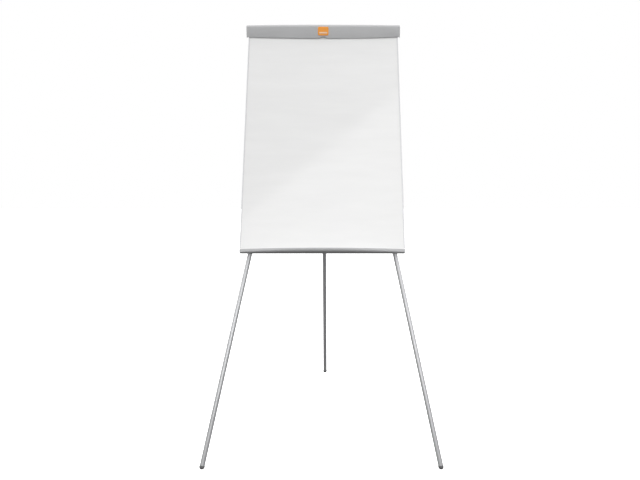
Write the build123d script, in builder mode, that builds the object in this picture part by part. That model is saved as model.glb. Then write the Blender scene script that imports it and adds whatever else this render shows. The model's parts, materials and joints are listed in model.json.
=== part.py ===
"""Tripod flipchart easel: a drywipe board with a hinged pad clamp and a pen tray, on three telescopic legs.

Millimetres and degrees. +Z is up, the board faces -Y, and the origin is the footprint's centre on the floor.
Most pieces are drawn in the board's own frame: x across, v up the slope from the board's lower edge,
and d the depth behind the board's front face (negative in front of it).
"""

import os
from math import atan, cos, hypot, radians, sin, sqrt, tan

from build123d import *

# Stance
LEAN = 18.7
STANCE_DEPTH = 982.0
STANCE_WIDTH = 893.0
FOOT_HEIGHT = 8.0
LEG_BELOW_BOARD = 813.0

# Board panel
BOARD_WIDTH = 675.0
BOARD_HEIGHT = 1036.0
BOARD_THICKNESS = 10.0
FACE_SHEET = 0.4
BACK_SHEET = 0.4
TRIM_FLANGE = 6.0
TRIM_WALL = 1.0
TRIM_LOW = 16.0
TRIM_HIGH = 1002.0

# Legs
LEG_DEPTH = 30.0
PIVOT_V = 971.0
OUTER_RADIUS = 11.0
INNER_RADIUS = 9.5
TUBE_WALL = 1.2
OUTER_START = 18.0
OUTER_END = 955.0
INNER_LENGTH = 975.0
CLAMP_START = 933.0
CLAMP_END = 983.0
CLAMP_RADIUS = 15.0
KNOB_AT = 968.0
FOOT_RADIUS = 10.3
FOOT_SKIRT = 4.0
PIVOT_BOLT_RADIUS = 4.0
LUG_RADIUS = 12.0
LUG_HALF = 6.0
REAR_LUG_HALF = 12.0
HEEL_REACH = 16.6
HEEL_HEIGHT = 12.0
RUNNING_GAP = 0.08
TRAVEL_GAP = 0.3
FIT_GAP = 0.05

# Hub bracket
HUB_HALF_WIDTH = 152.0
HUB_LOW = 934.0
HUB_HIGH = 1007.0
HUB_PLATE = 3.0
EAR_THICKNESS = 4.0
EAR_RADIUS = 13.0

# Leg guides
GUIDE_V = 140.0
GUIDE_HEIGHT = 22.0
GUIDE_PLATE = 2.0
GUIDE_INNER_X = 109.5
GUIDE_OUTER_X = 288.0
GUIDE_FLANGE = 20.0
GUIDE_DEPTH = 44.0

# Header: top rail and clamp bar
HEADER_TOP = 1049.0
HEADER_HALF = 346.0
HEADER_END_LOW = 991.5
HEADER_ARCH = 7.0
HEADER_BOW = 4.0
HEADER_WALL = 2.5
CAP_THICKNESS = 3.0
HINGE_D = 5.0
HINGE_V = 1041.5
HINGE_PIN_RADIUS = 2.5
NOTCH_WIDTH = 28.0
NOTCH_HEIGHT = 6.5
RAIL_HALF = 331.0
RAIL_FRONT = 7.0
RAIL_LOW = 1008.0
RAIL_CHANNEL_TOP = 1032.0
RAIL_BACK_LOW = 1011.0
RAIL_WALL = 1.6
RAIL_SLOT = 6.0
HOOK_V = 1020.0
HOOK_X = 275.0
HOOK_RADIUS = 4.0
HOOK_END = 14.0
BADGE_WIDTH = 48.0
BADGE_LOW = 994.0
BADGE_HIGH = 1028.0
BADGE_THICKNESS = 1.3
BADGE_CORNER = 6.0

# Pen tray
TRAY_HALF = 335.0
TRAY_END_CAP = 2.5
TRAY_DEPTH_END = 14.0
TRAY_DEPTH_MIDDLE = 40.5
TRAY_TOP = 8.5
TRAY_LOW = -5.0
TRAY_WALL = 2.2
TRAY_BACK = 14.0

# Screws in the board's back
SCREW_RADIUS = 1.6
SCREW_HEAD_RADIUS = 3.6
SCREW_HEAD = 2.2
SCREW_BITE = 6.0

SIDES = ((-1, "left"), (1, "right"))
OUTERMOST = {-1: 0, 1: -1}

lean = radians(LEAN)
ACROSS = Vector(1, 0, 0)
UP = Vector(0, sin(lean), cos(lean))
OUT = Vector(0, -cos(lean), sin(lean))
FRONT_FOOT_Y = -STANCE_DEPTH / 2
REAR_FOOT_Y = STANCE_DEPTH / 2
ORIGIN = Vector(0, FRONT_FOOT_Y, FOOT_HEIGHT) + UP * LEG_BELOW_BOARD + OUT * LEG_DEPTH
FACE = Plane(origin=ORIGIN, x_dir=ACROSS, z_dir=OUT)


def board_point(x, v, d=0.0):
    """A point of the board's frame, in the row frame."""
    return ORIGIN + ACROSS * x + UP * v - OUT * d


def behind(d):
    """The plane parallel to the board's face at depth d: x is across, y is up and extrude goes forward."""
    return FACE.offset(-d)


def section(x):
    """The plane across the board at x: sketch x is the depth d, y is v, extrude is towards +X."""
    return Plane(origin=board_point(x, 0), x_dir=-OUT, z_dir=ACROSS)


def save(builder, name):
    """Labels a finished piece and writes its STEP."""
    builder.part.label = name
    export_step(builder.part, f"parts/{name}.step")


os.makedirs("parts", exist_ok=True)

# Screw groups in the board's back: places (x, v) and the depth that the heads sit on
RAIL_BACK = BOARD_THICKNESS + RAIL_WALL
TRAY_FLANGE_BACK = BOARD_THICKNESS + TRAY_WALL
HUB_BACK = BOARD_THICKNESS + HUB_PLATE
GUIDE_BACK = BOARD_THICKNESS + GUIDE_PLATE
GUIDE_SCREW_X = (GUIDE_INNER_X - GUIDE_FLANGE / 2, GUIDE_OUTER_X + GUIDE_FLANGE / 2)
SCREWS = {
    "rail_screws": (RAIL_BACK, [(x, 1024) for x in (-310, -105, 105, 310)]),
    "tray_screws": (TRAY_FLANGE_BACK, [(x, 8) for x in (-320, -60, 60, 320)]),
    "hub_screws": (HUB_BACK, [(x, v) for x in (-143, -60, 60, 143) for v in (944, 997)]),
    "guide_screws": (GUIDE_BACK, [(s * x, GUIDE_V) for s in (-1, 1) for x in GUIDE_SCREW_X]),
}
SCREW_PLACES = [place for _, places in SCREWS.values() for place in places]


def screw_holes(places, start, depth):
    """Cuts clearance holes for back screws into the current part, from depth start towards the front."""
    with BuildSketch(behind(start)) as holes:
        with Locations(*places):
            Circle(SCREW_RADIUS)
    extrude(holes.sketch, amount=depth, mode=Mode.SUBTRACT)


# Board panel: lacquered steel face, honeycomb core and backing sheet

panel_half = BOARD_WIDTH / 2 - TRIM_WALL


def panel_layer(front, thickness):
    """One flat layer of the panel, from depth front backwards."""
    with BuildSketch(behind(front)) as layer:
        with Locations((0, BOARD_HEIGHT / 2)):
            Rectangle(2 * panel_half, BOARD_HEIGHT)
    extrude(layer.sketch, amount=-thickness)


with BuildPart() as drywipe_face:
    panel_layer(0, FACE_SHEET)
save(drywipe_face, "drywipe_face")

with BuildPart() as board_core:
    panel_layer(FACE_SHEET, BOARD_THICKNESS - FACE_SHEET - BACK_SHEET)
    screw_holes(SCREW_PLACES, BOARD_THICKNESS, SCREW_BITE)
save(board_core, "board_core")

with BuildPart() as back_sheet:
    panel_layer(BOARD_THICKNESS - BACK_SHEET, BACK_SHEET)
    screw_holes(SCREW_PLACES, BOARD_THICKNESS, SCREW_BITE)
save(back_sheet, "back_sheet")

# Side trims: U channels over the panel's long edges
for side, tag in SIDES:
    with BuildPart() as side_trim:
        with BuildSketch(behind(-TRIM_WALL)):
            with Locations((side * (BOARD_WIDTH - TRIM_FLANGE) / 2, (TRIM_LOW + TRIM_HIGH) / 2)):
                Rectangle(TRIM_FLANGE, TRIM_HIGH - TRIM_LOW)
        extrude(amount=-(BOARD_THICKNESS + 2 * TRIM_WALL))
        with BuildSketch(behind(0)):
            with Locations((0, BOARD_HEIGHT / 2)):
                Rectangle(2 * panel_half, BOARD_HEIGHT)
        extrude(amount=-BOARD_THICKNESS, mode=Mode.SUBTRACT)
        outer_edges = side_trim.edges().filter_by(Axis(ORIGIN, UP)).group_by(Axis.X)[OUTERMOST[side]]
        fillet(outer_edges, TRIM_WALL / 2)
    save(side_trim, f"side_trim_{tag}")

# Top rail: grips the panel's upper edge, with a slotted channel in front for the pad hooks
with BuildPart() as top_rail:
    with BuildSketch(section(-RAIL_HALF)):
        with BuildLine():
            Polyline(
                (-RAIL_FRONT, RAIL_LOW),
                (0, RAIL_LOW),
                (0, BOARD_HEIGHT),
                (BOARD_THICKNESS, BOARD_HEIGHT),
                (BOARD_THICKNESS, RAIL_BACK_LOW),
                (RAIL_BACK, RAIL_BACK_LOW),
                (RAIL_BACK, BOARD_HEIGHT + RAIL_WALL),
                (-RAIL_WALL, BOARD_HEIGHT + RAIL_WALL),
                (-RAIL_WALL, RAIL_CHANNEL_TOP),
                (-RAIL_FRONT, RAIL_CHANNEL_TOP),
                close=True,
            )
        make_face()
        channel_mid = (RAIL_LOW + RAIL_CHANNEL_TOP) / 2
        with Locations((-RAIL_FRONT / 2, channel_mid)):
            channel_height = RAIL_CHANNEL_TOP - RAIL_LOW - 2 * RAIL_WALL
            Rectangle(RAIL_FRONT - 2 * RAIL_WALL, channel_height, mode=Mode.SUBTRACT)
        with Locations((-RAIL_FRONT, channel_mid)):
            Rectangle(3 * RAIL_WALL, RAIL_SLOT, mode=Mode.SUBTRACT)
    extrude(amount=2 * RAIL_HALF)
    screw_holes(SCREWS["rail_screws"][1], RAIL_BACK, 2 * RAIL_WALL)
save(top_rail, "top_rail")

# Rail end brackets: close the rail's ends and carry the hinge pins
BRACKET_THICKNESS = 5.0
EAR_WALL = 4.4
for side, tag in SIDES:
    inner_x = side * RAIL_HALF
    with BuildPart() as rail_bracket:
        with BuildSketch(section(inner_x)):
            with BuildLine():
                Polyline(
                    (-RAIL_FRONT, RAIL_LOW),
                    (-RAIL_FRONT, RAIL_CHANNEL_TOP),
                    (HINGE_D - EAR_WALL, HINGE_V),
                    (HINGE_D + EAR_WALL, HINGE_V),
                    (RAIL_BACK, BOARD_HEIGHT),
                    (RAIL_BACK, RAIL_BACK_LOW),
                    close=True,
                )
            make_face()
            with Locations((HINGE_D, HINGE_V)):
                Circle(EAR_WALL)
                Circle(HINGE_PIN_RADIUS, mode=Mode.SUBTRACT)
        extrude(amount=side * BRACKET_THICKNESS)
        with BuildSketch(section(0)):
            with Locations((BOARD_THICKNESS / 2, BOARD_HEIGHT / 2)):
                Rectangle(BOARD_THICKNESS, BOARD_HEIGHT)
        extrude(amount=panel_half, both=True, mode=Mode.SUBTRACT)
    save(rail_bracket, f"rail_bracket_{tag}")

# Hinge pins: pressed into the brackets, the end caps of the clamp turn on them
for side, tag in SIDES:
    with BuildPart() as hinge_pin:
        with BuildSketch(section(side * RAIL_HALF)):
            with Locations((HINGE_D, HINGE_V)):
                Circle(HINGE_PIN_RADIUS)
        extrude(amount=side * (HEADER_HALF - RAIL_HALF - 0.4))
        chamfer(hinge_pin.edges().group_by(Axis.X)[OUTERMOST[side]], 0.5)
    save(hinge_pin, f"hinge_pin_{tag}")

# Clamp bar: a bowed shell, lofted through the same section at its ends and further forward at its middle
FRONT_TOP = (-25.0, 1029.0)
FRONT_LOW = -4.0
FRONT_BULGE = 2.0
CORNER_START = (-9.0, HEADER_TOP)
CORNER_FULLNESS = 0.2
SHELL_BACK = HINGE_D


def offset_point(start, end, share, distance):
    """The point at a share of the way from start to end, moved a distance towards the front and up."""
    run, rise = end[0] - start[0], end[1] - start[1]
    length = hypot(run, rise)
    depth = start[0] + share * run + distance * rise / length
    height = start[1] + share * rise - distance * run / length
    return depth, height


def shell_lines(inset, bow, low):
    """The bar's outline from its top's back to its lower edge, moved in by inset; its upper part by bow."""
    start, end = (FRONT_TOP[0] + bow, FRONT_TOP[1]), (FRONT_LOW, low)
    corner = (CORNER_START[0] + bow, HEADER_TOP - inset)
    bulges = ((0, 0), (0.5, FRONT_BULGE), (1, 0))
    front = [offset_point(start, end, share, out - inset) for share, out in bulges]
    front_top, front_mid, front_low = front
    run, rise = corner[0] - front_top[0], corner[1] - front_top[1]
    corner_mid = (front_top[0] + (0.5 - CORNER_FULLNESS) * run, front_top[1] + (0.5 + CORNER_FULLNESS) * rise)
    Line((SHELL_BACK, HEADER_TOP - inset), corner)
    ThreePointArc(corner, corner_mid, front_top)
    ThreePointArc(front_top, front_mid, front_low)
    return (SHELL_BACK, HEADER_TOP - inset), front_low


bar_half = HEADER_HALF - CAP_THICKNESS
arch_low = HEADER_END_LOW - HEADER_ARCH
MIDDLE = (0.0, arch_low)
ENDS = (HEADER_BOW, HEADER_END_LOW)
BAR_SECTIONS = ((-bar_half, ENDS), (0, MIDDLE), (bar_half, ENDS))


def shell_section(x, shape, outside, inside):
    """A skin's section at x between two insets of the outline; shape is its bow and its lower edge."""
    with BuildSketch(section(x)) as skin:
        with BuildLine():
            outer_start, outer_end = shell_lines(outside, *shape)
            inner_start, inner_end = shell_lines(inside, *shape)
            Line(outer_start, inner_start)
            Line(outer_end, inner_end)
        make_face()
    return skin.sketch.face()


with BuildPart() as clamp_bar:
    loft([shell_section(x, shape, 0.0, HEADER_WALL) for x, shape in BAR_SECTIONS])
    # a finger notch in the middle of the lower edge
    with BuildSketch(behind(60)):
        with Locations((0, arch_low)):
            Ellipse(NOTCH_WIDTH / 2, NOTCH_HEIGHT)
    extrude(amount=120, mode=Mode.SUBTRACT)
save(clamp_bar, "clamp_bar")

# Grip strip: a rubber blade inside the bar that holds the paper on the board
GRIP_V = 998.5
GRIP_HEIGHT = 5.0
GRIP_GAP = 0.4
GRIP_HALF = 321.0
with BuildPart() as grip_strip:
    with BuildSketch(section(-GRIP_HALF)):
        with BuildLine():
            Polyline(
                (-18, GRIP_V + GRIP_HEIGHT / 2),
                (-18, GRIP_V - GRIP_HEIGHT / 2),
                (-GRIP_GAP, GRIP_V - 1),
                (-GRIP_GAP, GRIP_V + 1),
                close=True,
            )
        make_face()
    extrude(amount=2 * GRIP_HALF)
    # its front is cut to the bow of the bar's inner wall
    loft([shell_section(x, shape, -12.0, HEADER_WALL) for x, shape in BAR_SECTIONS], mode=Mode.SUBTRACT)
save(grip_strip, "grip_strip")

# Clamp end caps: close the bar's ends and turn on the hinge pins
CAP_BOSS_RADIUS = 4.8
CAP_BOSS_LENGTH = 5.0
for side, tag in SIDES:
    with BuildPart() as clamp_cap:
        with BuildSketch(section(side * bar_half)):
            with BuildLine():
                end_start, end_low = shell_lines(0.0, *ENDS)
                Polyline(end_start, (SHELL_BACK, RAIL_BACK_LOW), (end_low[0] + 4.5, end_low[1]), end_low)
            make_face()
        extrude(amount=side * CAP_THICKNESS)
        with BuildSketch(section(side * HEADER_HALF)):
            with Locations((HINGE_D, HINGE_V)):
                Circle(CAP_BOSS_RADIUS)
        extrude(amount=-side * CAP_BOSS_LENGTH)
        with BuildSketch(section(side * HEADER_HALF)):
            with Locations((HINGE_D, HINGE_V)):
                Circle(HINGE_PIN_RADIUS + RUNNING_GAP)
        extrude(amount=-side * 2 * CAP_BOSS_LENGTH, mode=Mode.SUBTRACT)
    save(clamp_cap, f"clamp_cap_{tag}")

# Torsion springs: one coil round each hinge pin, one arm on the bracket and one under the bar's top
SPRING_WIRE = 0.45
SPRING_RADIUS = 3.6
SPRING_PITCH = 1.0
SPRING_TURNS = 2.25
SPRING_START = RAIL_HALF + BRACKET_THICKNESS + 1.2
BACK_ARM = 4.8
BAR_ARM = 13.0
with BuildPart() as spring_shape:
    with BuildLine() as coil:
        Helix(SPRING_PITCH, SPRING_PITCH * SPRING_TURNS, SPRING_RADIUS)
    coil_wire = coil.wires()[0]
    start_plane = Plane(origin=coil_wire @ 0, z_dir=coil_wire % 0)
    end_plane = Plane(origin=coil_wire @ 1, z_dir=coil_wire % 1)
    with BuildSketch(start_plane):
        Circle(SPRING_WIRE)
    sweep(path=coil_wire, is_frenet=True)
    with BuildSketch(start_plane):
        Circle(SPRING_WIRE)
    extrude(amount=-BACK_ARM)
    with BuildSketch(end_plane):
        Circle(SPRING_WIRE)
    extrude(amount=BAR_ARM)
spring_frame = Plane(origin=board_point(SPRING_START, HINGE_V, HINGE_D), x_dir=-OUT, z_dir=ACROSS)
with BuildPart() as clamp_spring_right:
    add(spring_shape.part.moved(spring_frame.location))
save(clamp_spring_right, "clamp_spring_right")
with BuildPart() as clamp_spring_left:
    add(clamp_spring_right.part.mirror(Plane.YZ))
save(clamp_spring_left, "clamp_spring_left")

# Badge: a plain plate that follows the bar's front
with BuildPart() as badge:
    extrude(shell_section(-BADGE_WIDTH / 2, MIDDLE, -BADGE_THICKNESS, 0.0), amount=BADGE_WIDTH)
    with BuildSketch(behind(0)):
        with Locations((0, (BADGE_LOW + BADGE_HIGH) / 2)):
            RectangleRounded(BADGE_WIDTH - 0.2, BADGE_HIGH - BADGE_LOW, BADGE_CORNER)
    extrude(amount=60, mode=Mode.INTERSECT)
save(badge, "badge")

# Pad hooks: a peg with a square nut that slides in the rail's channel
HOOK_NUT = 17.0
HOOK_NUT_FRONT = 5.0
HOOK_NUT_BACK = 2.0
HOOK_STEM = 2.7
for side, tag in SIDES:
    with BuildPart() as pad_hook:
        with BuildSketch(behind(-HOOK_NUT_BACK)):
            with Locations((side * HOOK_X, HOOK_V)):
                RectangleRounded(HOOK_NUT, HOOK_NUT, 1.5)
        extrude(amount=HOOK_NUT_FRONT - HOOK_NUT_BACK)
        with BuildSketch(behind(-HOOK_NUT_FRONT)):
            with Locations((side * HOOK_X, HOOK_V)):
                Circle(HOOK_STEM)
        extrude(amount=RAIL_FRONT - HOOK_NUT_FRONT + 0.3)
        with BuildSketch(behind(-RAIL_FRONT - 0.3)):
            with Locations((side * HOOK_X, HOOK_V)):
                Circle(HOOK_RADIUS)
        extrude(amount=HOOK_END - RAIL_FRONT - 0.3)
        chamfer(pad_hook.edges().filter_by(GeomType.CIRCLE).sort_by(Axis(ORIGIN, OUT))[-1], 0.6)
    save(pad_hook, f"pad_hook_{tag}")

# Pen tray: a bow-fronted trough lofted from its ends to its middle, and a channel on the panel's lower edge


def trough(x, depth, corner, wall):
    """The trough's section at x: its outside where wall is 0, its hollow where wall is the skin."""
    front, low = -depth + wall, TRAY_LOW + wall
    top = TRAY_TOP + wall
    back = -wall
    knee = corner * (1 - sqrt(0.5))
    with BuildSketch(section(x)) as trough_section:
        with BuildLine():
            Polyline((front, low + corner), (front, top), (back, top), (back, low), (front + corner, low))
            ThreePointArc((front + corner, low), (front + knee, low + knee), (front, low + corner))
        make_face()
    return trough_section.sketch.face()


tray_body_half = TRAY_HALF - TRAY_END_CAP
with BuildPart() as pen_tray:
    outside = [
        trough(-tray_body_half, TRAY_DEPTH_END, 3.0, 0.0),
        trough(0, TRAY_DEPTH_MIDDLE, 12.0, 0.0),
        trough(tray_body_half, TRAY_DEPTH_END, 3.0, 0.0),
    ]
    loft(outside)
    hollow = [
        trough(-tray_body_half - 1, TRAY_DEPTH_END, 1.5, TRAY_WALL),
        trough(0, TRAY_DEPTH_MIDDLE, 10.0, TRAY_WALL),
        trough(tray_body_half + 1, TRAY_DEPTH_END, 1.5, TRAY_WALL),
    ]
    loft(hollow, mode=Mode.SUBTRACT)
    with BuildSketch(section(-tray_body_half)):
        with BuildLine():
            Polyline(
                (-TRAY_WALL, TRAY_LOW),
                (TRAY_FLANGE_BACK, TRAY_LOW),
                (TRAY_FLANGE_BACK, TRAY_BACK),
                (BOARD_THICKNESS, TRAY_BACK),
                (BOARD_THICKNESS, 0),
                (0, 0),
                (0, TRAY_TOP),
                (-TRAY_WALL, TRAY_TOP),
                close=True,
            )
        make_face()
    extrude(amount=2 * tray_body_half)
    screw_holes(SCREWS["tray_screws"][1], TRAY_FLANGE_BACK, 1.5 * TRAY_WALL)
save(pen_tray, "pen_tray")

for side, tag in SIDES:
    with BuildPart() as tray_cap:
        with BuildSketch(section(side * tray_body_half)):
            with BuildLine():
                Polyline(
                    (-TRAY_DEPTH_END, TRAY_TOP),
                    (0, TRAY_TOP),
                    (0, 0),
                    (BOARD_THICKNESS, 0),
                    (BOARD_THICKNESS, TRAY_BACK),
                    (TRAY_FLANGE_BACK, TRAY_BACK),
                    (TRAY_FLANGE_BACK, TRAY_LOW),
                    (-TRAY_DEPTH_END, TRAY_LOW),
                    close=True,
                )
            make_face()
        extrude(amount=side * TRAY_END_CAP)
        cap_edges = tray_cap.edges().filter_by(Axis.X)
        fillet(cap_edges.sort_by(Axis(ORIGIN, OUT))[-2:], 1.2)
    save(tray_cap, f"tray_cap_{tag}")

# Hub bracket: a plate on the board's back with two bosses for the front legs and a clevis for the rear leg
front_run = STANCE_WIDTH / 2
splay = atan((front_run - 121.5) / (PIVOT_V + LEG_BELOW_BOARD))
PIVOT_X = front_run - (PIVOT_V + LEG_BELOW_BOARD) * tan(splay)
boss_end = LEG_DEPTH - LUG_HALF - 0.3
ear_inner = REAR_LUG_HALF + 0.5
with BuildPart() as hub_bracket:
    with BuildSketch(behind(BOARD_THICKNESS)):
        with Locations((0, (HUB_LOW + HUB_HIGH) / 2)):
            RectangleRounded(2 * HUB_HALF_WIDTH, HUB_HIGH - HUB_LOW, 12)
    extrude(amount=-HUB_PLATE)
    with BuildSketch(behind(HUB_BACK)):
        with Locations(*[(side * PIVOT_X, PIVOT_V) for side, _ in SIDES]):
            Circle(LUG_RADIUS)
    extrude(amount=-(boss_end - HUB_BACK))
    for side, _ in SIDES:
        with BuildSketch(section(side * ear_inner)):
            with Locations((LEG_DEPTH, PIVOT_V)):
                Circle(EAR_RADIUS)
            with Locations(((HUB_BACK + LEG_DEPTH) / 2, PIVOT_V)):
                Rectangle(LEG_DEPTH - HUB_BACK, 2 * EAR_RADIUS)
        extrude(amount=side * EAR_THICKNESS)
    hub_faces = hub_bracket.faces().filter_by(Plane(ORIGIN, z_dir=OUT))
    fillet(hub_faces.sort_by(Axis(ORIGIN, OUT))[-1].edges(), 0.8)
    with BuildSketch(behind(HUB_BACK - HUB_PLATE)):
        with Locations(*[(side * PIVOT_X, PIVOT_V) for side, _ in SIDES]):
            Circle(PIVOT_BOLT_RADIUS)
    extrude(amount=-LEG_DEPTH, mode=Mode.SUBTRACT)
    with BuildSketch(section(0)):
        with Locations((LEG_DEPTH, PIVOT_V)):
            Circle(PIVOT_BOLT_RADIUS)
    extrude(amount=2 * ear_inner, both=True, mode=Mode.SUBTRACT)
    screw_holes(SCREWS["hub_screws"][1], HUB_BACK, 2 * HUB_PLATE)
save(hub_bracket, "hub_bracket")

# Leg guides: hat-shaped straps that hold the front legs to the board and stop their spread
for side, tag in SIDES:
    with BuildPart() as leg_guide:
        inner_foot = GUIDE_INNER_X - GUIDE_FLANGE
        outer_foot = GUIDE_OUTER_X + GUIDE_FLANGE
        strap_frame = Plane(origin=board_point(0, GUIDE_V - GUIDE_HEIGHT / 2), x_dir=ACROSS, z_dir=UP)
        with BuildSketch(strap_frame):
            with BuildLine():
                Polyline(
                    (side * inner_foot, BOARD_THICKNESS),
                    (side * GUIDE_INNER_X, BOARD_THICKNESS),
                    (side * GUIDE_INNER_X, GUIDE_DEPTH),
                    (side * GUIDE_OUTER_X, GUIDE_DEPTH),
                    (side * GUIDE_OUTER_X, BOARD_THICKNESS),
                    (side * outer_foot, BOARD_THICKNESS),
                    (side * outer_foot, GUIDE_BACK),
                    (side * (GUIDE_OUTER_X + GUIDE_PLATE), GUIDE_BACK),
                    (side * (GUIDE_OUTER_X + GUIDE_PLATE), GUIDE_DEPTH + GUIDE_PLATE),
                    (side * (GUIDE_INNER_X - GUIDE_PLATE), GUIDE_DEPTH + GUIDE_PLATE),
                    (side * (GUIDE_INNER_X - GUIDE_PLATE), GUIDE_BACK),
                    (side * inner_foot, GUIDE_BACK),
                    close=True,
                )
            make_face()
        extrude(amount=GUIDE_HEIGHT)
        bends = leg_guide.edges().filter_by(Axis(ORIGIN, UP)).sort_by(Axis(ORIGIN, OUT))[:2]
        fillet(bends, 4)
        screw_holes([(side * x, GUIDE_V) for x in GUIDE_SCREW_X], GUIDE_BACK, 2 * GUIDE_PLATE)
    save(leg_guide, f"leg_guide_{tag}")

# Screws: pan heads with a cross recess
for name, (seat, places) in SCREWS.items():
    with BuildPart() as screws:
        with BuildSketch(behind(seat)):
            with Locations(*places):
                Circle(SCREW_HEAD_RADIUS)
        extrude(amount=-SCREW_HEAD)
        fillet(screws.faces().filter_by(Plane(ORIGIN, z_dir=OUT)).group_by(Axis(ORIGIN, OUT))[0].edges(), 1.0)
        with BuildSketch(behind(seat + SCREW_HEAD)):
            with Locations(*places):
                Rectangle(3.6, 0.9)
                Rectangle(0.9, 3.6)
        extrude(amount=1.1, mode=Mode.SUBTRACT)
        with BuildSketch(behind(seat)):
            with Locations(*places):
                Circle(SCREW_RADIUS - FIT_GAP)
        extrude(amount=seat - BOARD_THICKNESS + SCREW_BITE - 0.5)
    save(screws, name)

# Leg frames: origin at the pivot, z down the leg, x towards the back


def front_leg_frame(side):
    down = ACROSS * (side * sin(splay)) - UP * cos(splay)
    return Plane(origin=board_point(side * PIVOT_X, PIVOT_V, LEG_DEPTH), x_dir=-OUT, z_dir=down)


rear_pivot = board_point(0, PIVOT_V, LEG_DEPTH)
rear_foot = Vector(0, REAR_FOOT_Y, FOOT_HEIGHT)
rear_down = (rear_foot - rear_pivot).normalized()
rear_frame = Plane(origin=rear_pivot, x_dir=Vector(0, -rear_down.Z, rear_down.Y), z_dir=rear_down)
front_length = (PIVOT_V + LEG_BELOW_BOARD) / cos(splay)
rear_length = (rear_foot - rear_pivot).length
LEGS = (
    ("left", front_leg_frame(-1), front_length),
    ("right", front_leg_frame(1), front_length),
    ("rear", rear_frame, rear_length),
)


def tube(frame, start, end, outside, inside):
    """A round tube down a leg."""
    with BuildSketch(frame.offset(start)) as ring:
        Circle(outside)
        Circle(inside, mode=Mode.SUBTRACT)
    extrude(ring.sketch, amount=end - start)


def bore_plane(frame, kind, offset):
    """The plane that a leg's pivot runs square to: sketch x is across, y is down the leg."""
    if kind == "rear":
        return Plane(origin=frame.origin + frame.y_dir * offset, x_dir=frame.x_dir, z_dir=frame.y_dir)
    return Plane(origin=frame.origin + frame.x_dir * offset, x_dir=-frame.y_dir, z_dir=frame.x_dir)


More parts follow.
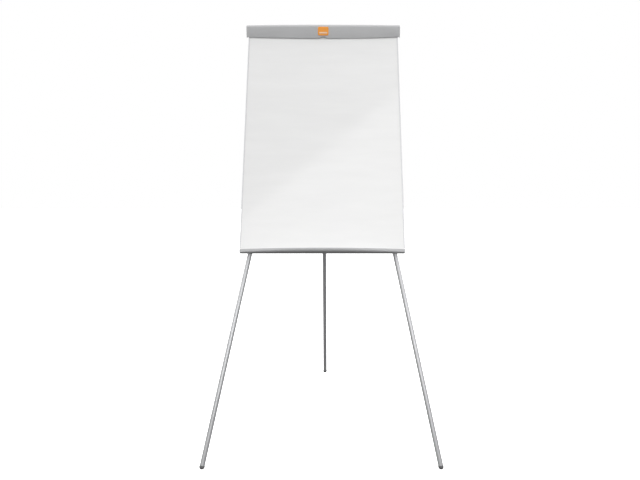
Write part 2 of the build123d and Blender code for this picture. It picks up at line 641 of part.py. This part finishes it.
for tag, frame, length in LEGS:
    # the pivot plug fills the tube's top and turns on the pivot bolt
    half = REAR_LUG_HALF if tag == "rear" else LUG_HALF
    down_sign = bore_plane(frame, tag, 0).y_dir.dot(frame.z_dir)
    with BuildPart() as pivot_plug:
        with BuildSketch(bore_plane(frame, tag, -half)):
            Circle(LUG_RADIUS)
            with Locations((0, down_sign * OUTER_START / 2)):
                Rectangle(2 * OUTER_RADIUS, OUTER_START)
        extrude(amount=2 * half)
        with BuildSketch(frame.offset(OUTER_START - 5)):
            Circle(OUTER_RADIUS)
        extrude(amount=5)
        with BuildSketch(frame.offset(OUTER_START)):
            Circle(OUTER_RADIUS - TUBE_WALL - FIT_GAP)
        extrude(amount=24)
        with BuildSketch(bore_plane(frame, tag, -half)):
            Circle(PIVOT_BOLT_RADIUS + RUNNING_GAP)
        extrude(amount=2 * half, mode=Mode.SUBTRACT)
    if tag == "rear":
        with BuildPart() as heel:
            with BuildSketch(section(-REAR_LUG_HALF)):
                with Locations((LEG_DEPTH - HEEL_REACH / 2, PIVOT_V + HEEL_HEIGHT / 2)):
                    Rectangle(HEEL_REACH, HEEL_HEIGHT)
                with Locations((LEG_DEPTH, PIVOT_V)):
                    Circle(PIVOT_BOLT_RADIUS + RUNNING_GAP, mode=Mode.SUBTRACT)
            extrude(amount=2 * REAR_LUG_HALF)
        with BuildPart() as pivot_plug_with_heel:
            add(pivot_plug.part)
            add(heel.part)
        save(pivot_plug_with_heel, f"pivot_plug_{tag}")
    else:
        save(pivot_plug, f"pivot_plug_{tag}")

    with BuildPart() as outer_tube:
        tube(frame, OUTER_START, OUTER_END, OUTER_RADIUS, OUTER_RADIUS - TUBE_WALL)
    save(outer_tube, f"outer_tube_{tag}")

    with BuildPart() as inner_tube:
        tube(frame, length - INNER_LENGTH, length - 2, INNER_RADIUS, INNER_RADIUS - TUBE_WALL)
    save(inner_tube, f"inner_tube_{tag}")

    # a nylon glide keeps the inner tube central in the outer one
    with BuildPart() as tube_glide:
        glide_at = length - INNER_LENGTH
        with BuildSketch(frame.offset(glide_at)):
            Circle(OUTER_RADIUS - TUBE_WALL - RUNNING_GAP)
        extrude(amount=-6)
        chamfer(tube_glide.edges(), 0.6)
        with BuildSketch(frame.offset(glide_at)):
            Circle(INNER_RADIUS - TUBE_WALL - FIT_GAP)
        extrude(amount=16)
    save(tube_glide, f"tube_glide_{tag}")

    # the leg clamp is a sleeve on the outer tube's end, with a boss for the clamp screw
    with BuildPart() as leg_clamp:
        with BuildSketch(frame.offset(CLAMP_START)):
            Circle(CLAMP_RADIUS)
        extrude(amount=CLAMP_END - CLAMP_START)
        fillet(leg_clamp.edges(), 2.0)
        knob_plane = Plane(origin=frame.origin + frame.z_dir * KNOB_AT, x_dir=frame.y_dir, z_dir=frame.x_dir)
        with BuildSketch(knob_plane):
            Circle(7.5)
        extrude(amount=CLAMP_RADIUS + 6)
        with BuildSketch(frame.offset(CLAMP_START)):
            Circle(OUTER_RADIUS + FIT_GAP)
        extrude(amount=OUTER_END - CLAMP_START + FIT_GAP, mode=Mode.SUBTRACT)
        with BuildSketch(frame.offset(CLAMP_START)):
            Circle(INNER_RADIUS + TRAVEL_GAP)
        extrude(amount=CLAMP_END - CLAMP_START, mode=Mode.SUBTRACT)
        with BuildSketch(knob_plane):
            Circle(3.0 + RUNNING_GAP)
        extrude(amount=2 * CLAMP_RADIUS, mode=Mode.SUBTRACT)
    save(leg_clamp, f"leg_clamp_{tag}")

    # the clamp knob: a lobed head on a screw that bears on the inner tube
    with BuildPart() as clamp_knob:
        with BuildSketch(knob_plane.offset(CLAMP_RADIUS + 6.4)):
            Circle(14)
            with PolarLocations(15.5, 6):
                Circle(4.2, mode=Mode.SUBTRACT)
        extrude(amount=11)
        fillet(clamp_knob.edges(), 0.9)
        with BuildSketch(knob_plane.offset(INNER_RADIUS + TRAVEL_GAP)):
            Circle(3.0)
        extrude(amount=CLAMP_RADIUS + 7 - INNER_RADIUS)
    save(clamp_knob, f"clamp_knob_{tag}")

    # the foot: a rubber cap with a domed end that is flat where it stands
    with BuildPart() as foot:
        foot_centre = frame.origin + frame.z_dir * length
        with Locations(Location(foot_centre)):
            Sphere(FOOT_RADIUS)
        with BuildSketch(frame.offset(length)):
            Circle(FOOT_RADIUS)
        extrude(amount=-FOOT_SKIRT)
        with BuildSketch(frame.offset(length)):
            Circle(2 * FOOT_RADIUS)
            Circle(FOOT_RADIUS, mode=Mode.SUBTRACT)
        extrude(amount=-3 * FOOT_RADIUS, mode=Mode.SUBTRACT)
        with BuildSketch(frame.offset(length - FOOT_SKIRT)):
            Circle(2 * FOOT_RADIUS)
        extrude(amount=-3 * FOOT_RADIUS, mode=Mode.SUBTRACT)
        with BuildSketch(frame.offset(length - 2)):
            Circle(INNER_RADIUS)
        extrude(amount=-3 * FOOT_RADIUS, mode=Mode.SUBTRACT)
        with BuildSketch(Plane.XY):
            with Locations((foot_centre.X, foot_centre.Y)):
                Rectangle(6 * FOOT_RADIUS, 6 * FOOT_RADIUS)
        extrude(amount=-3 * FOOT_RADIUS, mode=Mode.SUBTRACT)
    save(foot, f"foot_{tag}")

# Pivot bolts, washers and cap nuts of the front legs
WASHER = 1.5
NUT_ACROSS = 6.5
washer_start = LEG_DEPTH + LUG_HALF + 0.3
pivots = [(side * PIVOT_X, PIVOT_V) for side, _ in SIDES]
with BuildPart() as pivot_bolts:
    with BuildSketch(behind(BOARD_THICKNESS + 0.2)):
        with Locations(*pivots):
            Circle(PIVOT_BOLT_RADIUS)
    extrude(amount=-(washer_start + WASHER + 5 - BOARD_THICKNESS))
save(pivot_bolts, "pivot_bolts")

with BuildPart() as pivot_washers:
    with BuildSketch(behind(washer_start)):
        with Locations(*pivots):
            Circle(9)
            Circle(PIVOT_BOLT_RADIUS + 0.3, mode=Mode.SUBTRACT)
    extrude(amount=-WASHER)
save(pivot_washers, "pivot_washers")

nut_start = washer_start + WASHER
with BuildPart() as pivot_nuts:
    with BuildSketch(behind(nut_start)):
        with Locations(*pivots):
            RegularPolygon(NUT_ACROSS, 6, major_radius=False)
    extrude(amount=-5)
    with BuildSketch(behind(nut_start + 5)):
        with Locations(*pivots):
            Circle(NUT_ACROSS - 0.6)
    extrude(amount=-3.5)
    fillet(pivot_nuts.faces().filter_by(Plane(ORIGIN, z_dir=OUT)).group_by(Axis(ORIGIN, OUT))[0].edges(), 3.0)
    with BuildSketch(behind(nut_start)):
        with Locations(*pivots):
            Circle(PIVOT_BOLT_RADIUS)
    extrude(amount=-(5.2), mode=Mode.SUBTRACT)
save(pivot_nuts, "pivot_nuts")

# Rear pivot bolt and its nut, across the clevis
ear_outer = ear_inner + EAR_THICKNESS
with BuildPart() as rear_bolt:
    with BuildSketch(section(-ear_outer)):
        with Locations((LEG_DEPTH, PIVOT_V)):
            Circle(7)
    extrude(amount=-4.5)
    fillet(rear_bolt.edges().group_by(Axis.X)[0], 2)
    with BuildSketch(section(-ear_outer)):
        with Locations((LEG_DEPTH, PIVOT_V)):
            Circle(PIVOT_BOLT_RADIUS)
    extrude(amount=2 * ear_outer + 5)
save(rear_bolt, "rear_bolt")

with BuildPart() as rear_nut:
    with BuildSketch(section(ear_outer)):
        with Locations((LEG_DEPTH, PIVOT_V)):
            RegularPolygon(NUT_ACROSS, 6, major_radius=False)
            Circle(PIVOT_BOLT_RADIUS, mode=Mode.SUBTRACT)
    extrude(amount=6)
save(rear_nut, "rear_nut")
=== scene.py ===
"""Looks of the flipchart easel: materials, the badge's relief, soft studio light and the camera.

Metres, +Z up, front to -Y.
"""

import math

import bmesh
import bpy
from mathutils import Matrix, Vector
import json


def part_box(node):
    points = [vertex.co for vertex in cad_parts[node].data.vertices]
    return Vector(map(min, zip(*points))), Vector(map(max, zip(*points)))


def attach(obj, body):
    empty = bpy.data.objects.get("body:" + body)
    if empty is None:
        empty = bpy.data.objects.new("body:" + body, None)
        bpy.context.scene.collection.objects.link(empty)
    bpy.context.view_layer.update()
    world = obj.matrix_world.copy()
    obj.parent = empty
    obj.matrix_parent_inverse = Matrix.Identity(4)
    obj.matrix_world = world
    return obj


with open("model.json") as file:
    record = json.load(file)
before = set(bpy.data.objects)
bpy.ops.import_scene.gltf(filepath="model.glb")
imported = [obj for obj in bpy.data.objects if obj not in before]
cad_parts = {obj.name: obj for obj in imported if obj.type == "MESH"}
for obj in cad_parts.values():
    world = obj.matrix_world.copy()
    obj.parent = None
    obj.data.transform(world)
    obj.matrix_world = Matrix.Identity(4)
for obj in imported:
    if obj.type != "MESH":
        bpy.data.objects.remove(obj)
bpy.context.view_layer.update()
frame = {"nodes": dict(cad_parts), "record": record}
NODES = frame["nodes"]
RECORD = frame["record"]

ACROSS = Vector((1, 0, 0))

# The room that lights the easel: brightness against the sine of the height above the horizon
ROOM_LIGHT = 2.4
ROOM_STOPS = ((0.0, 0.12), (0.15, 0.25), (0.42, 1.0), (0.6, 1.0), (0.85, 0.6), (1.0, 0.5))
# The part of the room in front of the easel, behind the camera: its share of that brightness, and where it fades in
ROOM_BEHIND = 0.3
BEHIND_FULL, BEHIND_NONE = -0.75, 0.1

# Lamps, in watts
TOP_POWER = 15
FRONT_POWER = 26
PANEL_POWER = 23

# The floor: the light it throws back, and its own glow towards the camera
FLOOR_BOUNCE = 0.1
FLOOR_GLOW = 0.8
FLOOR_HALF = 30.0

# Camera
LENS = 27.202
SENSOR = 36.0
SHIFT_ACROSS = -0.01825
PITCH = math.radians(5.495)
CAMERA_PLACE = (0.0381, -2.2091, 1.0237)

# The panel that the board's gloss mirrors: how far its edge is along the mirrored rays, and its size
PANEL_REACH = 2.6
PANEL_WIDE, PANEL_DEEP = 4.2, 2.6
# Where that edge crosses the board's right and left sides, as shares of its height
EDGE_RIGHT_UP, EDGE_LEFT_UP = 0.70, 0.13

# Badge relief
DOME_RISE = 0.0016
DOME_SUNK = 0.0006
DOME_MARGIN = (0.0008, 0.0012)
DOME_CORNER = 0.0055
RIB_WIDE = 0.38
RIB_HALF_TALL = 0.0034
RIB_CORNER = 0.003
RIB_RISE = 0.0011
RIB_DOWN = 0.2
CORNER_STEPS = 8


# ---------------------------------------------------------------- materials

def new_material(name):
    """An empty material with a principled shader: the material, its tree and the shader."""
    material = bpy.data.materials.new(name)
    material.use_nodes = True
    tree = material.node_tree
    tree.nodes.clear()
    out = tree.nodes.new("ShaderNodeOutputMaterial")
    shader = tree.nodes.new("ShaderNodeBsdfPrincipled")
    tree.links.new(shader.outputs["BSDF"], out.inputs["Surface"])
    return material, tree, shader


def coordinates(tree, scale=(1, 1, 1)):
    place = tree.nodes.new("ShaderNodeTexCoord")
    mapping = tree.nodes.new("ShaderNodeMapping")
    mapping.inputs["Scale"].default_value = scale
    tree.links.new(place.outputs["Object"], mapping.inputs["Vector"])
    return mapping.outputs["Vector"]


def noise(tree, where, scale, detail=3.0, roughness=0.55):
    node = tree.nodes.new("ShaderNodeTexNoise")
    node.inputs["Scale"].default_value = scale
    node.inputs["Detail"].default_value = detail
    node.inputs["Roughness"].default_value = roughness
    tree.links.new(where, node.inputs["Vector"])
    return node.outputs["Fac"]


def ramp(tree, value, stops):
    """A colour ramp; each stop is a place and a colour or a grey level."""
    node = tree.nodes.new("ShaderNodeValToRGB")
    elements = node.color_ramp.elements
    while len(elements) < len(stops):
        elements.new(0.5)
    for element, (at, colour) in zip(elements, stops):
        element.position = at
        element.color = (*colour, 1) if isinstance(colour, tuple) else (colour, colour, colour, 1)
    tree.links.new(value, node.inputs["Fac"])
    return node.outputs["Color"]


def span(tree, value, low, high, start=0.0, end=1.0):
    """Maps start..end to low..high."""
    node = tree.nodes.new("ShaderNodeMapRange")
    node.inputs["From Min"].default_value = start
    node.inputs["From Max"].default_value = end
    node.inputs["To Min"].default_value = low
    node.inputs["To Max"].default_value = high
    tree.links.new(value, node.inputs["Value"])
    return node.outputs["Result"]


def bumps(tree, shader, height, strength, distance):
    node = tree.nodes.new("ShaderNodeBump")
    node.inputs["Strength"].default_value = strength
    node.inputs["Distance"].default_value = distance
    tree.links.new(height, node.inputs["Height"])
    tree.links.new(node.outputs["Normal"], shader.inputs["Normal"])


def edge_wear(tree, amount):
    """A mask of worn outer edges, from the surface's pointiness."""
    geometry = tree.nodes.new("ShaderNodeNewGeometry")
    return span(tree, geometry.outputs["Pointiness"], 0.0, amount, 0.5, 0.62)


def mix_colour(tree, factor, first, second):
    node = tree.nodes.new("ShaderNodeMix")
    node.data_type = "RGBA"
    tree.links.new(factor, node.inputs["Factor"])
    for socket, value in ((node.inputs[6], first), (node.inputs[7], second)):
        if isinstance(value, tuple):
            socket.default_value = (*value, 1)
        else:
            tree.links.new(value, socket)
    return node.outputs[2]


def lacquer(name, colour, roughness, coat=0.0, grain=600.0, grain_depth=0.00003, metallic=0.0, wear=0.06):
    """Painted or moulded surface: slight tone drift, fine grain, roughness that varies, paler worn edges."""
    material, tree, shader = new_material(name)
    where = coordinates(tree)
    low = tuple(c * 0.97 for c in colour)
    high = tuple(min(1, c * 1.03) for c in colour)
    drift = ramp(tree, noise(tree, where, 6.0, 4.0), ((0.3, low), (0.7, high)))
    worn = tuple(min(1, c * 1.25 + 0.04) for c in colour)
    tree.links.new(mix_colour(tree, edge_wear(tree, wear), drift, worn), shader.inputs["Base Color"])
    patches = span(tree, noise(tree, where, 28.0, 5.0), roughness * 0.86, roughness * 1.14)
    tree.links.new(patches, shader.inputs["Roughness"])
    shader.inputs["Metallic"].default_value = metallic
    shader.inputs["Coat Weight"].default_value = coat
    shader.inputs["Coat Roughness"].default_value = 0.12
    bumps(tree, shader, noise(tree, where, grain, 2.0), 0.35, grain_depth)
    return material


def brushed(name, colour, roughness, along, metallic=1.0):
    """Metal with fine lines along one direction."""
    material, tree, shader = new_material(name)
    scale = tuple(3.0 if c else 420.0 for c in along)
    lines = noise(tree, coordinates(tree, scale), 1.0, 4.0, 0.6)
    low = tuple(c * 0.93 for c in colour)
    tree.links.new(ramp(tree, lines, ((0.3, low), (0.7, colour))), shader.inputs["Base Color"])
    tree.links.new(span(tree, lines, roughness * 0.8, roughness * 1.2), shader.inputs["Roughness"])
    shader.inputs["Metallic"].default_value = metallic
    bumps(tree, shader, lines, 0.12, 0.00002)
    return material


def honeycomb(name):
    """Cut edge of the core sheet: fibres and small cells."""
    material, tree, shader = new_material(name)
    cells = tree.nodes.new("ShaderNodeTexVoronoi")
    cells.inputs["Scale"].default_value = 240.0
    tree.links.new(coordinates(tree), cells.inputs["Vector"])
    shades = ramp(tree, cells.outputs["Distance"], ((0.05, (0.36, 0.29, 0.2)), (0.6, (0.6, 0.5, 0.37))))
    tree.links.new(shades, shader.inputs["Base Color"])
    shader.inputs["Roughness"].default_value = 0.85
    bumps(tree, shader, cells.outputs["Distance"], 0.5, 0.0003)
    return material


def enamel(name):
    """The writing face: glossy white lacquer with a faint orange-peel and the ghost of wiped marks."""
    material, tree, shader = new_material(name)
    smear = noise(tree, coordinates(tree, (1.2, 0.5, 7.0)), 3.0, 5.0, 0.6)
    whites = ramp(tree, smear, ((0.3, (0.80, 0.80, 0.797)), (0.75, (0.835, 0.835, 0.832))))
    tree.links.new(whites, shader.inputs["Base Color"])
    tree.links.new(span(tree, smear, 0.42, 0.5), shader.inputs["Roughness"])
    shader.inputs["Coat Weight"].default_value = 1.0
    shader.inputs["Coat IOR"].default_value = 1.8
    shader.inputs["Coat Roughness"].default_value = 0.09
    bumps(tree, shader, noise(tree, coordinates(tree), 160.0, 2.0), 0.05, 0.00005)
    return material


PAINT = {
    "white_enamel": enamel("writing_enamel"),
    "core_board": honeycomb("core_board"),
    "back_paint": lacquer("back_sheet_paint", (0.42, 0.43, 0.45), 0.45, grain=260.0),
    "header_grey": lacquer("header_grey", (0.49, 0.493, 0.50), 0.46, grain=900.0, grain_depth=0.00005),
    "aluminium_anodised": brushed("anodised_trim", (0.70, 0.705, 0.715), 0.45, (0, 0, 1), metallic=0.3),
    "leg_paint": lacquer("leg_powder_coat", (0.53, 0.535, 0.545), 0.4, coat=0.15,
                         grain=1400.0, grain_depth=0.00001, metallic=0.55, wear=0.1),
    "steel_zinc": brushed("zinc_steel", (0.62, 0.62, 0.61), 0.36, (1, 0, 0)),
    "bracket_paint": lacquer("bracket_powder_coat", (0.06, 0.062, 0.065), 0.5,
                             grain=700.0, grain_depth=0.00008, wear=0.2),
    "dark_plastic": lacquer("dark_plastic", (0.035, 0.036, 0.038), 0.46,
                            grain=900.0, grain_depth=0.00006, wear=0.15),
    "nylon": lacquer("nylon_glide", (0.66, 0.65, 0.61), 0.5),
    "rubber_dark": lacquer("foot_rubber", (0.13, 0.13, 0.132), 0.72,
                           grain=500.0, grain_depth=0.0001, wear=0.25),
    "badge_orange": lacquer("badge_orange", (0.93, 0.34, 0.022), 0.4, coat=0.15,
                            grain=300.0, grain_depth=0.00001),
}
RIB_PAINT = lacquer("badge_rib_pale", (0.9, 0.62, 0.42), 0.3, coat=0.4, grain=300.0, grain_depth=0.00001)
for entry in RECORD["subparts"]:
    node = NODES[entry["node"]]
    node.data.materials.clear()
    node.data.materials.append(PAINT[entry["material_slot"]])


# ---------------------------------------------------------------- badge

def front_plane(node):
    """The mean plane of the faces of a node that look forward: its normal and a point on its outer side."""
    world = node.matrix_world
    turn = world.to_3x3()
    normal = Vector()
    for face in node.data.polygons:
        outward = (turn @ face.normal).normalized()
        if outward.y < -0.7:
            normal += outward * face.area
    normal.normalize()
    low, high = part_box(node.name)
    middle = (low + high) / 2
    reach = max((world @ corner.co - middle).dot(normal) for corner in node.data.vertices)
    return normal, middle + normal * reach


def rounded_outline(half_wide, half_tall, corner):
    """Points of a rounded rectangle in its own plane."""
    points = []
    for turn, (sx, sy) in enumerate(((1, 1), (-1, 1), (-1, -1), (1, -1))):
        for step in range(CORNER_STEPS + 1):
            angle = math.pi / 2 * (turn + step / CORNER_STEPS)
            points.append((
                sx * (half_wide - corner) + corner * math.cos(angle),
                sy * (half_tall - corner) + corner * math.sin(angle),
            ))
    return points


# Rings of a cushion from its outline to its crown: how much of its height each keeps, and its share of the rise
CUSHION_RINGS = ((1.0, 0.0), (0.985, 0.35), (0.95, 0.62), (0.88, 0.82), (0.7, 0.94), (0.4, 0.99))


def cushion(name, place, up, out, half, corner, rise, sink, paint):
    """A domed pad on the clamp: an outline, a skirt that goes into its base by sink, and a crown."""
    mesh = bpy.data.meshes.new(name)
    shape = bmesh.new()
    outline = rounded_outline(half[0], half[1], corner)
    levels = [(1.0, -sink)] + [(keep, share * rise) for keep, share in CUSHION_RINGS]
    rings = []
    for keep, lift in levels:
        narrowing = 1 - (1 - keep) * half[1] / half[0]
        rings.append([
            shape.verts.new(place + ACROSS * x * narrowing + up * y * keep + out * lift) for x, y in outline
        ])
    count = len(outline)
    for lower, upper in zip(rings, rings[1:]):
        for i in range(count):
            j = (i + 1) % count
            shape.faces.new((lower[i], lower[j], upper[j], upper[i]))
    crown = shape.verts.new(place + out * rise)
    for i in range(count):
        shape.faces.new((rings[-1][i], rings[-1][(i + 1) % count], crown))
    shape.faces.new(list(reversed(rings[0])))
    bmesh.ops.recalc_face_normals(shape, faces=shape.faces)
    for face in shape.faces:
        face.smooth = len(face.verts) < 5
    shape.to_mesh(mesh)
    shape.free()
    piece = bpy.data.objects.new(name, mesh)
    bpy.context.collection.objects.link(piece)
    piece.data.materials.append(paint)
    return piece


badge_low, badge_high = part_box("badge")
badge_out, badge_face = front_plane(NODES["badge"])
badge_up = badge_out.cross(ACROSS)
if badge_up.z < 0:
    badge_up = -badge_up
badge_tall = (badge_high.z - badge_low.z) / abs(badge_up.z)
badge_wide = badge_high.x - badge_low.x
badge_mid = Vector(((badge_low.x + badge_high.x) / 2, 0, (badge_low.z + badge_high.z) / 2))
badge_mid.y = badge_face.y - (badge_mid.z - badge_face.z) * badge_out.z / badge_out.y

dome_half = (badge_wide / 2 - DOME_MARGIN[0], badge_tall / 2 - DOME_MARGIN[1])
dome = cushion("badge_dome", badge_mid - badge_out * DOME_SUNK, badge_up, badge_out,
               dome_half, DOME_CORNER, DOME_RISE, 0.0009, PAINT["badge_orange"])
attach(dome, "clamp")
rib_place = badge_mid - badge_up * badge_tall * RIB_DOWN + badge_out * DOME_SUNK
rib = cushion("badge_rib", rib_place, badge_up, badge_out,
              (badge_wide * RIB_WIDE, RIB_HALF_TALL), RIB_CORNER, RIB_RISE, 0.001, RIB_PAINT)
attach(rib, "clamp")


# ---------------------------------------------------------------- stage

def camera_ray_mix(tree, unseen, seen, out):
    """Shows one shader to the camera and another to the rays that light the easel."""
    ray = tree.nodes.new("ShaderNodeLightPath")
    both = tree.nodes.new("ShaderNodeMixShader")
    tree.links.new(ray.outputs["Is Camera Ray"], both.inputs["Fac"])
    tree.links.new(unseen, both.inputs[1])
    tree.links.new(seen, both.inputs[2])
    tree.links.new(both.outputs["Shader"], out.inputs["Surface"])


mesh = bpy.data.meshes.new("studio_floor")
shape = bmesh.new()
corners = ((-FLOOR_HALF, -FLOOR_HALF), (FLOOR_HALF, -FLOOR_HALF), (FLOOR_HALF, FLOOR_HALF), (-FLOOR_HALF, FLOOR_HALF))
shape.faces.new([shape.verts.new((x, y, 0)) for x, y in corners])
shape.to_mesh(mesh)
shape.free()
floor = bpy.data.objects.new("studio_floor", mesh)
bpy.context.collection.objects.link(floor)
material, tree, shader = new_material("studio_paper")
paper = noise(tree, coordinates(tree), 1.5, 3.0)
tree.links.new(ramp(tree, paper, ((0.3, 0.965), (0.7, 0.975))), shader.inputs["Base Color"])
shader.inputs["Roughness"].default_value = 0.95
shader.inputs["Specular IOR Level"].default_value = 0.1
shader.inputs["Emission Color"].default_value = (1, 1, 1, 1)
shader.inputs["Emission Strength"].default_value = FLOOR_GLOW
# the paper looks white, but throws little light back up at the easel
bounce = tree.nodes.new("ShaderNodeBsdfDiffuse")
bounce.inputs["Color"].default_value = (FLOOR_BOUNCE, FLOOR_BOUNCE, FLOOR_BOUNCE, 1)
out = next(node for node in tree.nodes if node.type == "OUTPUT_MATERIAL")
camera_ray_mix(tree, bounce.outputs["BSDF"], shader.outputs["BSDF"], out)
floor.data.materials.append(material)

# the room: plain white to the camera; what lights the easel is bright at mid height, and dim in front of it
world = bpy.data.worlds.new("studio")
bpy.context.scene.world = world
world.use_nodes = True
tree = world.node_tree
tree.nodes.clear()
out = tree.nodes.new("ShaderNodeOutputWorld")
direction = tree.nodes.new("ShaderNodeTexCoord")
split = tree.nodes.new("ShaderNodeSeparateXYZ")
tree.links.new(direction.outputs["Generated"], split.inputs["Vector"])
walls = ramp(tree, split.outputs["Z"], ROOM_STOPS)
dimmed = tree.nodes.new("ShaderNodeVectorMath")
dimmed.operation = "SCALE"
dimmed.inputs["Scale"].default_value = ROOM_BEHIND
tree.links.new(walls, dimmed.inputs[0])
towards = span(tree, split.outputs["Y"], 0.0, 1.0, BEHIND_FULL, BEHIND_NONE)
room = tree.nodes.new("ShaderNodeBackground")
tree.links.new(mix_colour(tree, towards, dimmed.outputs["Vector"], walls), room.inputs["Color"])
room.inputs["Strength"].default_value = ROOM_LIGHT
backdrop = tree.nodes.new("ShaderNodeBackground")
backdrop.inputs["Color"].default_value = (1, 1, 1, 1)
camera_ray_mix(tree, room.outputs["Background"], backdrop.outputs["Background"], out)


def area_light(name, place, facing, across, width, height, power):
    """A rectangular soft light. facing is where it shines, across the direction of its width."""
    data = bpy.data.lights.new(name, "AREA")
    data.shape = "RECTANGLE"
    data.size, data.size_y = width, height
    data.energy = power
    lamp = bpy.data.objects.new(name, data)
    back = -facing.normalized()
    side = (across - back * across.dot(back)).normalized()
    turned = Matrix((side, back.cross(side), back)).transposed().to_4x4()
    lamp.matrix_world = Matrix.Translation(place) @ turned
    bpy.context.collection.objects.link(lamp)


area_light("soft_top", Vector((0, -0.3, 4.4)), Vector((0, 0, -1)), ACROSS, 4.5, 4.5, TOP_POWER)
area_light("soft_front", Vector((0, -3.4, 1.3)), Vector((0, 1, 0)), ACROSS, 3.2, 0.8, FRONT_POWER)

# ---------------------------------------------------------------- camera

camera_data = bpy.data.cameras.new("camera")
camera_data.sensor_width = SENSOR
camera_data.lens = LENS
camera_data.shift_x = SHIFT_ACROSS
camera_data.clip_start, camera_data.clip_end = 0.05, 60
camera = bpy.data.objects.new("camera", camera_data)
bpy.context.collection.objects.link(camera)
camera.location = CAMERA_PLACE
camera.rotation_mode = "QUATERNION"
ahead = Vector((0, math.cos(PITCH), -math.sin(PITCH)))
camera.rotation_quaternion = ahead.to_track_quat("-Z", "Y")
bpy.context.scene.camera = camera

# a wide soft panel behind the camera, whose edge runs slantwise in the board's gloss
face_low, face_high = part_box("drywipe_face")
lean = math.atan2(face_high.y - face_low.y, face_high.z - face_low.z)
board_normal = Vector((0, -math.cos(lean), math.sin(lean)))
mirrored = camera.location - 2 * (camera.location - face_low).dot(board_normal) * board_normal


def on_board(across, up):
    """A point of the writing face: across and up go from 0 to 1."""
    return Vector((
        face_low.x + across * (face_high.x - face_low.x),
        face_low.y + up * (face_high.y - face_low.y),
        face_low.z + up * (face_high.z - face_low.z),
    ))


def reflected(across, up):
    """Where a camera ray that the board mirrors at that point arrives after the panel's reach."""
    point = on_board(across, up)
    return point + (point - mirrored).normalized() * PANEL_REACH


edge_right = reflected(1.0, EDGE_RIGHT_UP)
edge_left = reflected(0.0, EDGE_LEFT_UP)
along = (edge_right - edge_left).normalized()
inward = reflected(0.9, 0.1) - edge_left
inward = (inward - along * inward.dot(along)).normalized()
panel_middle = (edge_left + edge_right) / 2 + inward * PANEL_DEEP / 2
facing = along.cross(inward)
if facing.dot(on_board(0.5, 0.5) - panel_middle) < 0:
    facing = -facing
area_light("soft_panel", panel_middle, facing, along, PANEL_WIDE, PANEL_DEEP, PANEL_POWER)

scene = bpy.context.scene
scene.view_settings.view_transform = "Standard"
scene.view_settings.look = "None"

import json
